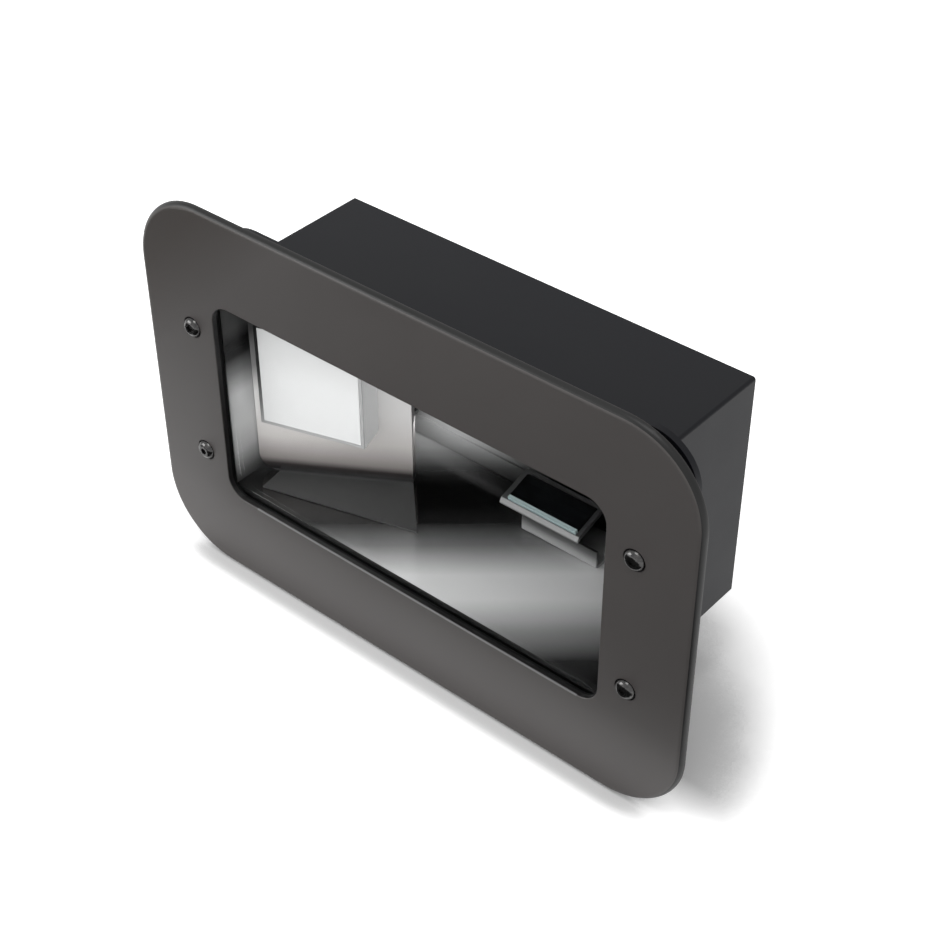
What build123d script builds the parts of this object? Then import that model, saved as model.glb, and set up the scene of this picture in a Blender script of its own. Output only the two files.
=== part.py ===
"""Flush-mounted checkout scanner: a rounded bezel plate with a glass window, and behind the
window a folded housing with a lamp, a camera pod and a fold mirror.

Millimetres. X is to the right seen from the front, Y goes back into the counter and Z is up.
The origin is the centre of the bezel's back face, which seats on the counter panel.
"""
import os
from math import asin, cos, radians, sin, tan

from build123d import *

os.makedirs("parts", exist_ok=True)

# Bezel plate and its window opening
bezel_width = 300.0
bezel_height = 195.6
bezel_thick = 3.0
bezel_corner_r = 38.0
rim_r = 2.6
window_width = 214.0
window_height = 106.0
window_corner_r = 10.0
window_break = 0.25

# Housing, folded from sheet; its floor is level with the window's lower edge
sheet = 1.2
housing_side_room = 3.0
housing_head_room = 9.0
housing_depth = 90.0
bend_r = 1.5
flange_reach = 7.0
flange_rise = 12.0
flange_corner_r = 4.0
rear_flange = 10.0
rear_opening_r = 3.0

# Front screws, M5 button heads that pull the clamp frame towards the bezel
screw_outset = 10.65
screw_pitch_z = 68.6
screw_r = 2.5
screw_shoulder_r = 2.7
screw_thread_r = 2.1
screw_end = 2.8
shank_margin = 0.3
screw_head_r = 4.75
screw_head_height = 2.75
screw_socket_width = 3.0
screw_socket_depth = 1.5
screw_tip_chamfer = 0.6
screw_head_gap = 0.45
counterbore_depth = 0.8

# Window glass in its rubber gasket
glass_overlap = 5.0
glass_thick = 3.0
glass_corner_r = 4.0
glass_front = 0.6
gasket_rebate = 0.4
gasket_back_lip = 0.8
gasket_back_widening = 1.3
gasket_back_corner_r = 2.0
gasket_fit = 0.25

# Weld studs on the bezel and the nuts that hold the housing's flange
stud_r = 1.5
stud_hole_gap = 0.2
stud_inset = 12.0
stud_outset = 8.0
stud_columns = 4
stud_end = 1.2
nut_width = 5.5
nut_thick = 2.4
thread_gap = 0.1

# Clamp frame behind the counter panel
panel_max = 24.0
clamp_side = 8.35
clamp_rise = 13.0
clamp_thick = 3.0
clamp_corner_r = 22.0
clamp_gap = 0.6
clamp_opening_r = 2.5
clamp_hole_pitch_z = 104.0
clamp_hole_r = 2.25
clinch_body_r = 4.75
clinch_body_height = 4.0
clinch_spigot_r = 3.2
clinch_spigot_step = 0.6

# Rear cover and its screws
cover_thick = 1.2
cover_screw_r = 1.5
cover_screw_length = 6.0
cover_head_r = 2.8
cover_head_height = 2.0
cross_width = 0.8
cross_length = 3.2
cross_depth = 1.1

# Liners on the housing's floor and sides; the floor sheet's front edge is folded down
floor_thick = 0.8
floor_lip_thick = 0.6
floor_lip_margin = 1.0
floor_lip_gap = 0.1
liner_thick = 0.8
liner_front_gap = 0.2
liner_back_gap = 3.0
liner_side_gap = 0.5

# Lamp: an upright carrier plate, turned in plan, with a wedge-shaped shade on it
carrier_turn = 31.6
carrier_side_gap = 1.0
carrier_set_back = 13.4
carrier_length = 73.1
carrier_thick = 1.5
carrier_corner_r = 10.0
carrier_lip = 8.0
carrier_screw_inset = 13.8
carrier_foot_thick = 0.8
carrier_foot_run = 8.0
carrier_foot_left_run = 5.7
carrier_foot_left_depth = 13.5
carrier_foot_right_depth = 35.5
carrier_weld_r = 2.5
shade_turn = 17.2
shade_stand_off = 0.7
shade_start = 3.2
shade_width = 52.7
shade_height = 54.6
shade_rise = 29.0
shade_wall = 1.5
diffuser_thick = 1.5
diffuser_fit = 0.15
led_board_start = 15.0
led_board_end_gap = 4.7
led_board_edge_gap = 4.15
led_board_thick = 1.2
led_margin = 5.0
led_size = 2.8
led_height = 0.8
led_rows = 5
led_columns = 4

# Camera pod: a tilted head with a bevelled glass, on a square body that stands on the floor
pod_tilt = 17.0
pod_left = 3.0
pod_rear_room = 27.0
pod_front_rise = 9.8
pod_width = 44.3
pod_depth = 21.2
pod_head_thick = 2.6
pod_front_chamfer = 1.8
pod_edge_r = 0.6
pod_glass_left = 3.6
pod_glass_right = 2.25
pod_glass_front = 2.4
pod_glass_back = 2.45
pod_glass_thick = 2.6
pod_glass_bevel = 1.7
pod_glass_seat = 1.0
pod_glass_fit = 0.15
pod_glass_front_gap = 0.4
pod_body_left = 3.0
pod_body_width = 29.0
pod_body_front = 6.2
pod_body_depth = 13.4
pod_screw_inset = 5.0
sensor_board_drop = 6.0
sensor_board_width = 25.4
sensor_board_depth = 9.8
sensor_board_thick = 1.2
sensor_board_gap = 0.3
lens_offset = 7.5
lens_r = 4.6
lens_collar_r = 5.0
lens_collar_height = 2.0
lens_glass_r = 3.4
lens_glass_rise = 0.7
lens_recess = 1.2

# Front plate of the pod, bent from sheet, with its foot behind it
plate_start = 12.2
plate_width = 42.3
plate_set_back = 0.8
plate_thick = 1.2
plate_head_gap = 0.2
plate_foot_depth = 6.6
plate_bend_r = 1.4
plate_screw_inset = 7.0
plate_screw_back = 3.3

# Fold mirror under the housing's roof, above the pod
mirror_set_forward = 15.5
mirror_drop = 25.8
mirror_slope = 37.4
mirror_width = 64.0
mirror_height = 42.0
mirror_thick = 3.0
bracket_width = 56.0
bracket_thick = 1.5
bracket_drop = 16.0
bracket_flange = 16.0

# Processor board on standoffs from the rear cover, with its sockets
board_side_gap = 7.8
board_edge_gap = 0.3
board_width = 37.0
board_thick = 1.6
standoff_length = 18.0
standoff_width = 5.0
standoff_inset = 6.0
small_screw_r = 1.25
small_screw_length = 5.0
small_head_r = 2.3
small_head_height = 1.6
pod_screw_length = 8.0
chip_size = 16.0
chip_height = 1.8
chip_rise = 17.5
sink_size = 28.0
sink_height = 12.0
sink_base_thick = 3.0
sink_fins = 7
sink_fin_thick = 1.4
socket_proud = 0.6
socket_fit = 0.3
network_width = 16.2
network_height = 14.0
network_rise = 23.5
network_mouth_width = 11.7
network_mouth_height = 7.0
network_notch_width = 5.0
network_notch_height = 2.5
network_mouth_depth = 11.0
power_width = 14.0
power_height = 12.0
power_drop = 16.5
power_mouth_r = 3.3
power_pin_r = 1.0
power_mouth_depth = 9.0

# Outlines that follow from the sizes above
housing_width = window_width + 2 * housing_side_room
housing_height = window_height + housing_head_room
housing_mid_z = housing_head_room / 2
flange_width = housing_width + 2 * flange_reach
flange_height = housing_height + 2 * flange_rise
glass_width = window_width + 2 * glass_overlap
glass_height = window_height + 2 * glass_overlap
screw_pitch_x = housing_width + 2 * screw_outset
stud_pitch_x = (flange_width - 2 * stud_inset) / (stud_columns - 1)
stud_pitch_z = housing_height + 2 * stud_outset
clamp_width = screw_pitch_x + 2 * clamp_side
clamp_height = housing_height + 2 * clamp_rise
cover_screw_inset = sheet + rear_flange / 2
cover_screw_pitch_x = housing_width / 2 - cover_screw_inset
cover_screw_pitch_z = housing_height - 2 * cover_screw_inset
rear_opening_width = housing_width - 2 * (sheet + rear_flange)
rear_opening_height = housing_height - 2 * (sheet + rear_flange)

# Levels that follow from the sizes above
gasket_back = glass_front + glass_thick + gasket_back_lip
flange_back = gasket_back + sheet
cover_back = housing_depth + cover_thick
clamp_back = panel_max + clamp_thick
screw_seat = counterbore_depth - bezel_thick
screw_hole_r = screw_shoulder_r + thread_gap
housing_floor_z = housing_mid_z - housing_height / 2 + sheet
housing_roof_z = housing_mid_z + housing_height / 2 - sheet
housing_side_x = housing_width / 2 - sheet
floor_z = housing_floor_z + floor_thick
liner_front = gasket_back + liner_front_gap
floor_lip_front = glass_front + glass_thick + floor_lip_gap
liner_back = housing_depth - liner_back_gap
carrier_start_x = carrier_side_gap + liner_thick - housing_side_x
carrier_start_y = flange_back + carrier_set_back
shade_base_z = floor_z + shade_rise
led_board_width = shade_start + shade_width - led_board_start - led_board_end_gap
led_board_height = shade_height - 2 * led_board_edge_gap
pod_front = housing_depth - pod_rear_room
pod_front_z = floor_z + pod_front_rise
pod_glass_width = pod_width - pod_glass_left - pod_glass_right
pod_glass_depth = pod_depth - pod_glass_front - pod_glass_back
pod_glass_mid = (pod_glass_left + pod_glass_width / 2, pod_glass_front + pod_glass_depth / 2)
pod_body_mid = (pod_body_left + pod_body_width / 2, pod_body_front + pod_body_depth / 2)
pod_foot_y = (
    pod_front + pod_body_mid[1] / cos(radians(pod_tilt)) + pod_front_rise * tan(radians(pod_tilt))
)
pod_screw_x = (
    pod_left + pod_body_left + pod_screw_inset,
    pod_left + pod_body_left + pod_body_width - pod_screw_inset,
)
plate_left = pod_left + plate_start
plate_front = pod_front + plate_set_back
plate_height = pod_front_rise - plate_head_gap
mirror_x = pod_left + pod_glass_mid[0]
mirror_y = pod_front - mirror_set_forward
mirror_z = housing_roof_z - mirror_drop
board_back = housing_depth - standoff_length
board_front = board_back - board_thick
board_mid_x = board_side_gap + sheet - housing_width / 2 + board_width / 2
board_height = rear_opening_height - 2 * board_edge_gap
chip_z = housing_mid_z + chip_rise
network_z = housing_mid_z + network_rise
power_z = housing_mid_z - power_drop


def upright(y):
    """Upright plane at depth y, seen from the front: local X to the right, local Y up."""
    return Plane.XZ.offset(-y)


def rear_facing(y):
    """Upright plane at depth y whose normal points back."""
    return Plane(origin=(0, y, 0), x_dir=(-1, 0, 0), z_dir=(0, 1, 0))


def turned(x, y, degrees):
    """Upright plane through (x, y), turned in plan so that its right end lies deeper."""
    angle = radians(degrees)
    return Plane(
        origin=(x, y, 0),
        x_dir=(cos(angle), sin(angle), 0),
        z_dir=(sin(angle), -cos(angle), 0),
    )


carrier_plane = turned(carrier_start_x, carrier_start_y, carrier_turn)
shade_plane = turned(carrier_start_x, carrier_start_y - shade_stand_off, shade_turn)
pod_plane = Plane(
    origin=(pod_left, pod_front, pod_front_z),
    x_dir=(1, 0, 0),
    z_dir=(0, -sin(radians(pod_tilt)), cos(radians(pod_tilt))),
)
pod_side_plane = Plane(
    origin=(pod_left, pod_front, pod_front_z),
    x_dir=(0, cos(radians(pod_tilt)), sin(radians(pod_tilt))),
    z_dir=(1, 0, 0),
)
mirror_plane = Plane(
    origin=(mirror_x, mirror_y, mirror_z),
    x_dir=(1, 0, 0),
    z_dir=(0, -sin(radians(mirror_slope)), -cos(radians(mirror_slope))),
)


def carrier_plan(z):
    """Level plane whose local X runs along the carrier and whose local Y points behind it."""
    return Plane(
        origin=(carrier_start_x, carrier_start_y, z),
        x_dir=(cos(radians(carrier_turn)), sin(radians(carrier_turn)), 0),
        z_dir=(0, 0, 1),
    )


def stud_places():
    return GridLocations(stud_pitch_x, stud_pitch_z, stud_columns, 2)


def front_screw_places():
    return GridLocations(screw_pitch_x, screw_pitch_z, 2, 2)


def cover_screw_places():
    return GridLocations(cover_screw_pitch_x, cover_screw_pitch_z, 3, 2)


def carrier_screw_places():
    first = carrier_corner_r + carrier_thick + carrier_screw_inset
    across = (carrier_lip + carrier_thick) / 2
    return Locations((first, across), (carrier_length - carrier_screw_inset, across))


def pod_screw_places():
    return Locations(*[(x, pod_foot_y) for x in pod_screw_x])


def plate_screw_places():
    y = plate_front + plate_thick + plate_screw_back
    first = plate_left + plate_screw_inset
    last = plate_left + plate_width - plate_screw_inset
    return Locations((first, y), (last, y))


# Bezel: a plate with a rounded front rim, a rebate for the gasket and weld studs on its back
with BuildPart() as front_bezel:
    with BuildSketch(upright(0)):
        RectangleRounded(bezel_width, bezel_height, bezel_corner_r)
    extrude(amount=bezel_thick)
    fillet(front_bezel.faces().sort_by(Axis.Y)[0].edges(), rim_r)
    with BuildSketch(upright(0)):
        RectangleRounded(window_width, window_height, window_corner_r)
    extrude(amount=bezel_thick, mode=Mode.SUBTRACT)
    chamfer(front_bezel.faces().sort_by(Axis.Y)[0].inner_wires()[0].edges(), window_break)
    with BuildSketch(upright(0)):
        with Locations((0, housing_mid_z)):
            RectangleRounded(
                flange_width + 2 * gasket_fit, flange_height + 2 * gasket_fit, flange_corner_r
            )
    extrude(amount=gasket_rebate, mode=Mode.SUBTRACT)
    with Locations(upright(-bezel_thick)):
        with front_screw_places():
            CounterBoreHole(screw_hole_r, screw_head_r + screw_head_gap, counterbore_depth)
    with BuildSketch(upright(-gasket_rebate)):
        with Locations((0, housing_mid_z)):
            with stud_places():
                Circle(stud_r)
    extrude(amount=-(gasket_rebate + flange_back + nut_thick + stud_end))

# Gasket: rubber frame that holds the glass between two lips
with BuildPart() as window_gasket:
    with BuildSketch(upright(-gasket_rebate)):
        with Locations((0, housing_mid_z)):
            RectangleRounded(flange_width, flange_height, flange_corner_r)
            with stud_places():
                Circle(stud_r + stud_hole_gap, mode=Mode.SUBTRACT)
        RectangleRounded(window_width, window_height, window_corner_r, mode=Mode.SUBTRACT)
    extrude(amount=-(gasket_rebate + gasket_back))
    with BuildSketch(upright(glass_front)):
        RectangleRounded(
            window_width + 2 * gasket_back_widening, window_height, gasket_back_corner_r
        )
    extrude(amount=glass_front - gasket_back, mode=Mode.SUBTRACT)
    with BuildSketch(upright(glass_front)):
        RectangleRounded(
            glass_width + 2 * gasket_fit, glass_height + 2 * gasket_fit, glass_corner_r
        )
    extrude(amount=-glass_thick, mode=Mode.SUBTRACT)

with BuildPart() as window_glass:
    with BuildSketch(upright(glass_front)):
        RectangleRounded(glass_width, glass_height, glass_corner_r)
    extrude(amount=-glass_thick)

# Housing: a folded sleeve with a front flange for the studs and a rear flange for the cover
with BuildPart() as housing:
    with BuildSketch(upright(gasket_back)):
        with Locations((0, housing_mid_z)):
            RectangleRounded(housing_width, housing_height, bend_r)
    extrude(amount=gasket_back - housing_depth)
    with BuildSketch(upright(gasket_back)):
        with Locations((0, housing_mid_z)):
            RectangleRounded(flange_width, flange_height, flange_corner_r)
            with stud_places():
                Circle(stud_r + stud_hole_gap, mode=Mode.SUBTRACT)
    extrude(amount=-sheet)
    with BuildSketch(upright(gasket_back)):
        with Locations((0, housing_mid_z)):
            RectangleRounded(
                housing_width - 2 * sheet, housing_height - 2 * sheet, bend_r - sheet
            )
    extrude(amount=gasket_back + sheet - housing_depth, mode=Mode.SUBTRACT)
    with BuildSketch(upright(housing_depth)):
        with Locations((0, housing_mid_z)):
            RectangleRounded(rear_opening_width, rear_opening_height, rear_opening_r)
            with cover_screw_places():
                Circle(cover_screw_r + thread_gap)
    extrude(amount=sheet, mode=Mode.SUBTRACT)
    with BuildSketch(carrier_plan(housing_floor_z)):
        with carrier_screw_places():
            Circle(small_screw_r + thread_gap)
    with BuildSketch(Plane.XY.offset(housing_floor_z)):
        with pod_screw_places():
            Circle(small_screw_r + thread_gap)
        with plate_screw_places():
            Circle(small_screw_r + thread_gap)
    extrude(amount=-sheet, mode=Mode.SUBTRACT)


# Fasteners are made once, head up on the XY plane, and copied to their places
def button_screw():
    """M5 button head with a hexagon socket and a stepped shank; its seat is at z = 0."""
    dome_r = screw_head_r * 0.55
    with BuildPart() as piece:
        with BuildSketch(Plane.XZ):
            with BuildLine():
                Line((0, 0), (screw_head_r, 0))
                Line((screw_head_r, 0), (screw_head_r, screw_head_height * 0.2))
                SagittaArc(
                    (screw_head_r, screw_head_height * 0.2),
                    (dome_r, screw_head_height),
                    -screw_head_height * 0.18,
                )
                Line((dome_r, screw_head_height), (0, screw_head_height))
                Line((0, screw_head_height), (0, 0))
            make_face()
        revolve(axis=Axis.Z)
        for shank_r, shank_length in (
            (screw_shoulder_r, -screw_seat),
            (screw_r, panel_max - shank_margin - screw_seat),
            (screw_thread_r, clamp_back + screw_end - screw_seat),
        ):
            with BuildSketch(Plane.XY):
                Circle(shank_r)
            extrude(amount=-shank_length)
        chamfer(piece.edges().sort_by(Axis.Z)[0], screw_tip_chamfer)
        with BuildSketch(Plane.XY.offset(screw_head_height)):
            RegularPolygon(screw_socket_width / 2, 6, major_radius=False)
        extrude(amount=-screw_socket_depth, mode=Mode.SUBTRACT)
    return piece.part


def pan_screw(shank_r, shank_length, head_r, head_height):
    """Pan head with a cross recess; its seat is at z = 0."""
    with BuildPart() as piece:
        with BuildSketch(Plane.XY):
            Circle(head_r)
        extrude(amount=head_height)
        fillet(piece.edges().sort_by(Axis.Z)[-1], head_height * 0.45)
        with BuildSketch(Plane.XY):
            Circle(shank_r)
        extrude(amount=-shank_length)
        with BuildSketch(Plane.XY.offset(head_height)):
            Rectangle(cross_length * head_r / cover_head_r, cross_width)
            Rectangle(cross_width, cross_length * head_r / cover_head_r)
        extrude(amount=-cross_depth, mode=Mode.SUBTRACT)
    return piece.part


def hex_nut(width, thick, bore_r):
    """Plain hexagon nut standing on z = 0."""
    with BuildPart() as piece:
        with BuildSketch(Plane.XY):
            RegularPolygon(width / 2, 6, major_radius=False)
            Circle(bore_r, mode=Mode.SUBTRACT)
        extrude(amount=thick)
    return piece.part


def clinch_nut():
    """Round clinch nut: its body stands on z = 0 and its spigot reaches down into the plate."""
    with BuildPart() as piece:
        with BuildSketch(Plane.XY):
            Circle(clinch_body_r)
        extrude(amount=clinch_body_height)
        chamfer(piece.edges().sort_by(Axis.Z)[-1], screw_tip_chamfer)
        with BuildSketch(Plane.XY):
            Circle(clinch_spigot_r)
        extrude(amount=clinch_spigot_step - clamp_thick)
        Hole(screw_thread_r + thread_gap)
    return piece.part


front_screw = button_screw()
flange_nut = hex_nut(nut_width, nut_thick, stud_r + thread_gap)
clamp_nut = clinch_nut()
cover_screw = pan_screw(cover_screw_r, cover_screw_length, cover_head_r, cover_head_height)
small_screw = pan_screw(small_screw_r, small_screw_length, small_head_r, small_head_height)
pod_screw = pan_screw(small_screw_r, pod_screw_length, small_head_r, small_head_height)

with BuildPart() as front_screws:
    with Locations(upright(screw_seat)):
        with front_screw_places():
            add(front_screw)

with BuildPart() as flange_nuts:
    with Locations(rear_facing(flange_back)):
        with Locations((0, housing_mid_z)):
            with stud_places():
                add(flange_nut)

# Clamp frame: slides over the housing from behind and is pulled up by the front screws
with BuildPart() as clamp_frame:
    with BuildSketch(upright(panel_max)):
        with Locations((0, housing_mid_z)):
            RectangleRounded(clamp_width, clamp_height, clamp_corner_r)
            RectangleRounded(
                housing_width + 2 * clamp_gap,
                housing_height + 2 * clamp_gap,
                clamp_opening_r,
                mode=Mode.SUBTRACT,
            )
        with front_screw_places():
            Circle(clinch_spigot_r + thread_gap, mode=Mode.SUBTRACT)
        with GridLocations(screw_pitch_x, clamp_hole_pitch_z, 2, 2):
            Circle(clamp_hole_r, mode=Mode.SUBTRACT)
    extrude(amount=-clamp_thick)

with BuildPart() as clamp_nuts:
    with Locations(rear_facing(clamp_back)):
        with front_screw_places():
            add(clamp_nut)

# Rear cover: plate with the socket openings
with BuildPart() as rear_cover:
    with BuildSketch(upright(housing_depth)):
        with Locations((0, housing_mid_z)):
            RectangleRounded(housing_width, housing_height, bend_r)
            with cover_screw_places():
                Circle(cover_screw_r + thread_gap, mode=Mode.SUBTRACT)
        with Locations((board_mid_x, network_z)):
            Rectangle(
                network_width + 2 * socket_fit,
                network_height + 2 * socket_fit,
                mode=Mode.SUBTRACT,
            )
        with Locations((board_mid_x, power_z)):
            Rectangle(
                power_width + 2 * socket_fit, power_height + 2 * socket_fit, mode=Mode.SUBTRACT
            )
    extrude(amount=-cover_thick)

with BuildPart() as cover_screws:
    with Locations(rear_facing(cover_back)):
        with Locations((0, housing_mid_z)):
            with cover_screw_places():
                add(cover_screw)

# Liners: a glossy floor sheet, folded down behind the glass, and two polished side sheets
with BuildPart() as floor_sheet:
    with BuildSketch(Plane.XY.offset(housing_floor_z)):
        with Locations((0, (liner_front + liner_back) / 2)):
            Rectangle(2 * (housing_side_x - liner_side_gap), liner_back - liner_front)
        with pod_screw_places():
            Circle(small_screw_r + thread_gap, mode=Mode.SUBTRACT)
        with plate_screw_places():
            Circle(small_screw_r + thread_gap, mode=Mode.SUBTRACT)
    extrude(amount=floor_thick)
    with BuildSketch(Plane.YZ.offset(floor_lip_margin - window_width / 2)):
        with BuildLine():
            Polyline(
                (liner_front, floor_z),
                (floor_lip_front + floor_lip_thick, floor_z),
                (floor_lip_front, floor_z - floor_lip_thick),
                (floor_lip_front, floor_lip_gap - window_height / 2),
                (floor_lip_front + floor_lip_thick, floor_lip_gap - window_height / 2),
                (floor_lip_front + floor_lip_thick, housing_floor_z),
                (liner_front, housing_floor_z),
                close=True,
            )
        make_face()
    extrude(amount=window_width - 2 * floor_lip_margin)
    with BuildSketch(carrier_plan(floor_z)):
        with carrier_screw_places():
            Circle(small_screw_r + thread_gap)
    extrude(amount=-floor_thick, mode=Mode.SUBTRACT)

with BuildPart() as side_liners:
    with BuildSketch(Plane.XY.offset(floor_z)):
        for side in (-1, 1):
            with Locations((side * (housing_side_x - liner_thick / 2), (liner_front + liner_back) / 2)):
                Rectangle(liner_thick, liner_back - liner_front)
    extrude(amount=housing_roof_z - liner_side_gap - floor_z)

# Lamp carrier: upright plate with a rounded lower corner and folded lips at floor, roof and end,
# and a thin foot sheet welded along its front
with BuildPart() as lamp_carrier:
    with BuildSketch(carrier_plane) as carrier_outline:
        with Locations((0, floor_z)):
            Rectangle(carrier_length, housing_roof_z - floor_z, align=(Align.MIN, Align.MIN))
        lower_left = carrier_outline.vertices().sort_by(Axis.X)[:2].sort_by(Axis.Y)[0]
        fillet(lower_left, carrier_corner_r)
    extrude(amount=-carrier_thick)
    for lip_z in (floor_z, housing_roof_z - carrier_thick):
        with BuildSketch(carrier_plan(lip_z)):
            with Locations((carrier_length, 0)):
                Rectangle(
                    carrier_length - carrier_corner_r - carrier_thick,
                    carrier_lip,
                    align=(Align.MAX, Align.MIN),
                )
        extrude(amount=carrier_thick)
    with BuildSketch(carrier_plane):
        with Locations((carrier_length, floor_z)):
            Rectangle(carrier_thick, housing_roof_z - floor_z, align=(Align.MAX, Align.MIN))
    extrude(amount=-carrier_lip)
    with BuildSketch(carrier_plan(floor_z)):
        with carrier_screw_places():
            Circle(small_screw_r + thread_gap)
    extrude(amount=carrier_thick, mode=Mode.SUBTRACT)
    with BuildSketch(carrier_plan(floor_z)):
        with BuildLine():
            Polyline(
                (carrier_corner_r, 0),
                (carrier_corner_r - carrier_foot_left_run, -carrier_foot_left_depth),
                (carrier_length + carrier_foot_run, -carrier_foot_right_depth),
                (carrier_length, 0),
                close=True,
            )
        make_face()
    extrude(amount=carrier_foot_thick)
    weld_middle = carrier_plan(floor_z + carrier_foot_thick).from_local_coords(
        ((carrier_corner_r + carrier_length) / 2, 0, 0)
    )
    fillet(lamp_carrier.edges().sort_by_distance(weld_middle)[0], carrier_weld_r)

with BuildPart() as behind_carrier:
    with BuildSketch(carrier_plane):
        Rectangle(4 * carrier_length, 4 * housing_height)
    extrude(amount=-2 * carrier_length)

# Lamp shade: a wedge frame, open at both ends, that turns the diffuser out of the carrier's plane
shade_mid = shade_start + shade_width / 2
shade_mid_z = shade_base_z + shade_height / 2
with BuildPart() as lamp_shade:
    with BuildSketch(shade_plane):
        with Locations((shade_mid, shade_mid_z)):
            Rectangle(shade_width, shade_height)
            Rectangle(
                shade_width - 2 * shade_wall, shade_height - 2 * shade_wall, mode=Mode.SUBTRACT
            )
    extrude(amount=-shade_width)
    add(behind_carrier.part, mode=Mode.SUBTRACT)

with BuildPart() as diffuser:
    with BuildSketch(shade_plane):
        with Locations((shade_mid, shade_mid_z)):
            Rectangle(
                shade_width - 2 * (shade_wall + diffuser_fit),
                shade_height - 2 * (shade_wall + diffuser_fit),
            )
    extrude(amount=-diffuser_thick)

led_mid = led_board_start + led_board_width / 2
with BuildPart() as led_board:
    with BuildSketch(carrier_plane):
        with Locations((led_mid, shade_mid_z)):
            Rectangle(led_board_width, led_board_height)
    extrude(amount=led_board_thick)

with BuildPart() as leds:
    with BuildSketch(carrier_plane.offset(led_board_thick)):
        with Locations((led_mid, shade_mid_z)):
            with GridLocations(
                (led_board_width - 2 * led_margin) / (led_columns - 1),
                (led_board_height - 2 * led_margin) / (led_rows - 1),
                led_columns,
                led_rows,
            ):
                Rectangle(led_size, led_size)
    extrude(amount=led_height)

# Camera pod: a head with a chamfered front, on a body that leans with it and stands on the floor
glass_seat_plane = pod_plane.offset(pod_head_thick - pod_glass_seat)
sensor_plane = pod_plane.offset(-sensor_board_drop)
sensor_seat_plane = sensor_plane.offset(-sensor_board_thick)

with BuildPart() as under_floor:
    with BuildSketch(Plane.XY.offset(floor_z)):
        with Locations((pod_left, pod_front)):
            Rectangle(4 * pod_width, 4 * pod_width)
    extrude(amount=-pod_width)

with BuildPart() as pod_housing:
    with BuildSketch(pod_side_plane):
        with BuildLine():
            Polyline(
                (0, 0),
                (0, pod_head_thick - pod_front_chamfer),
                (pod_front_chamfer, pod_head_thick),
                (pod_depth, pod_head_thick),
                (pod_depth, 0),
                close=True,
            )
        make_face()
    extrude(amount=pod_width)
    fillet(pod_housing.faces().sort_by(Axis.Y)[-1].edges(), pod_edge_r)
    with BuildSketch(pod_plane):
        with Locations(pod_body_mid):
            Rectangle(pod_body_width, pod_body_depth)
    extrude(amount=-pod_width)
    add(under_floor.part, mode=Mode.SUBTRACT)
    with BuildSketch(sensor_seat_plane):
        with Locations(pod_body_mid):
            Rectangle(
                sensor_board_width + 2 * sensor_board_gap, sensor_board_depth + 2 * sensor_board_gap
            )
    extrude(amount=sensor_board_thick + sensor_board_drop + pod_head_thick, mode=Mode.SUBTRACT)
    with BuildSketch(glass_seat_plane):
        with Locations(pod_glass_mid):
            Rectangle(pod_glass_width + 2 * pod_glass_fit, pod_glass_depth + 2 * pod_glass_fit)
        with Locations((pod_glass_mid[0], pod_glass_front - pod_glass_front_gap)):
            Rectangle(
                pod_glass_width + 2 * pod_glass_fit,
                pod_glass_front_gap,
                align=(Align.CENTER, Align.MIN),
            )
    extrude(amount=pod_glass_seat, mode=Mode.SUBTRACT)
    with BuildSketch(Plane.XY.offset(floor_z)):
        with pod_screw_places():
            Circle(small_screw_r + thread_gap)
    extrude(amount=pod_screw_length - sheet - floor_thick + thread_gap, mode=Mode.SUBTRACT)

with BuildPart() as pod_glass:
    with BuildSketch(glass_seat_plane):
        with Locations(pod_glass_mid):
            Rectangle(pod_glass_width, pod_glass_depth)
    extrude(amount=pod_glass_thick)
    top_edges = pod_glass.faces().sort_by(Axis.Z)[-1].edges()
    chamfer(top_edges.sort_by(Axis.Y)[0], pod_glass_bevel)

# Front plate: an angle of sheet that stands before the pod's body, screwed down by its foot
with BuildPart() as pod_plate:
    with BuildSketch(Plane.YZ.offset(plate_left)):
        with Locations((plate_front, floor_z)):
            Rectangle(plate_thick, plate_height, align=(Align.MIN, Align.MIN))
            Rectangle(plate_thick + plate_foot_depth, plate_thick, align=(Align.MIN, Align.MIN))
    extrude(amount=plate_width)
    outer_bend = pod_plate.edges().filter_by(Axis.X).group_by(Axis.Z)[0].sort_by(Axis.Y)[0]
    fillet(outer_bend, plate_bend_r)
    with BuildSketch(Plane.XY.offset(floor_z)):
        with plate_screw_places():
            Circle(small_screw_r + thread_gap)
    extrude(amount=plate_thick, mode=Mode.SUBTRACT)

# Sensor board and lens, square to the pod's head
lens_mid = (pod_body_mid[0] + lens_offset, pod_body_mid[1])
lens_height = sensor_board_drop + pod_head_thick - pod_glass_seat - lens_recess
with BuildPart() as sensor_board:
    with BuildSketch(sensor_plane):
        with Locations(pod_body_mid):
            Rectangle(sensor_board_width, sensor_board_depth)
    extrude(amount=-sensor_board_thick)

with BuildPart() as lens_barrel:
    with BuildSketch(sensor_plane):
        with Locations(lens_mid):
            Circle(lens_collar_r)
    extrude(amount=lens_collar_height)
    with BuildSketch(sensor_plane):
        with Locations(lens_mid):
            Circle(lens_r)
    extrude(amount=lens_height)
    with BuildSketch(sensor_plane.offset(lens_height)):
        with Locations(lens_mid):
            Circle(lens_glass_r + thread_gap)
    extrude(amount=-2 * lens_glass_rise, mode=Mode.SUBTRACT)

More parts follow.
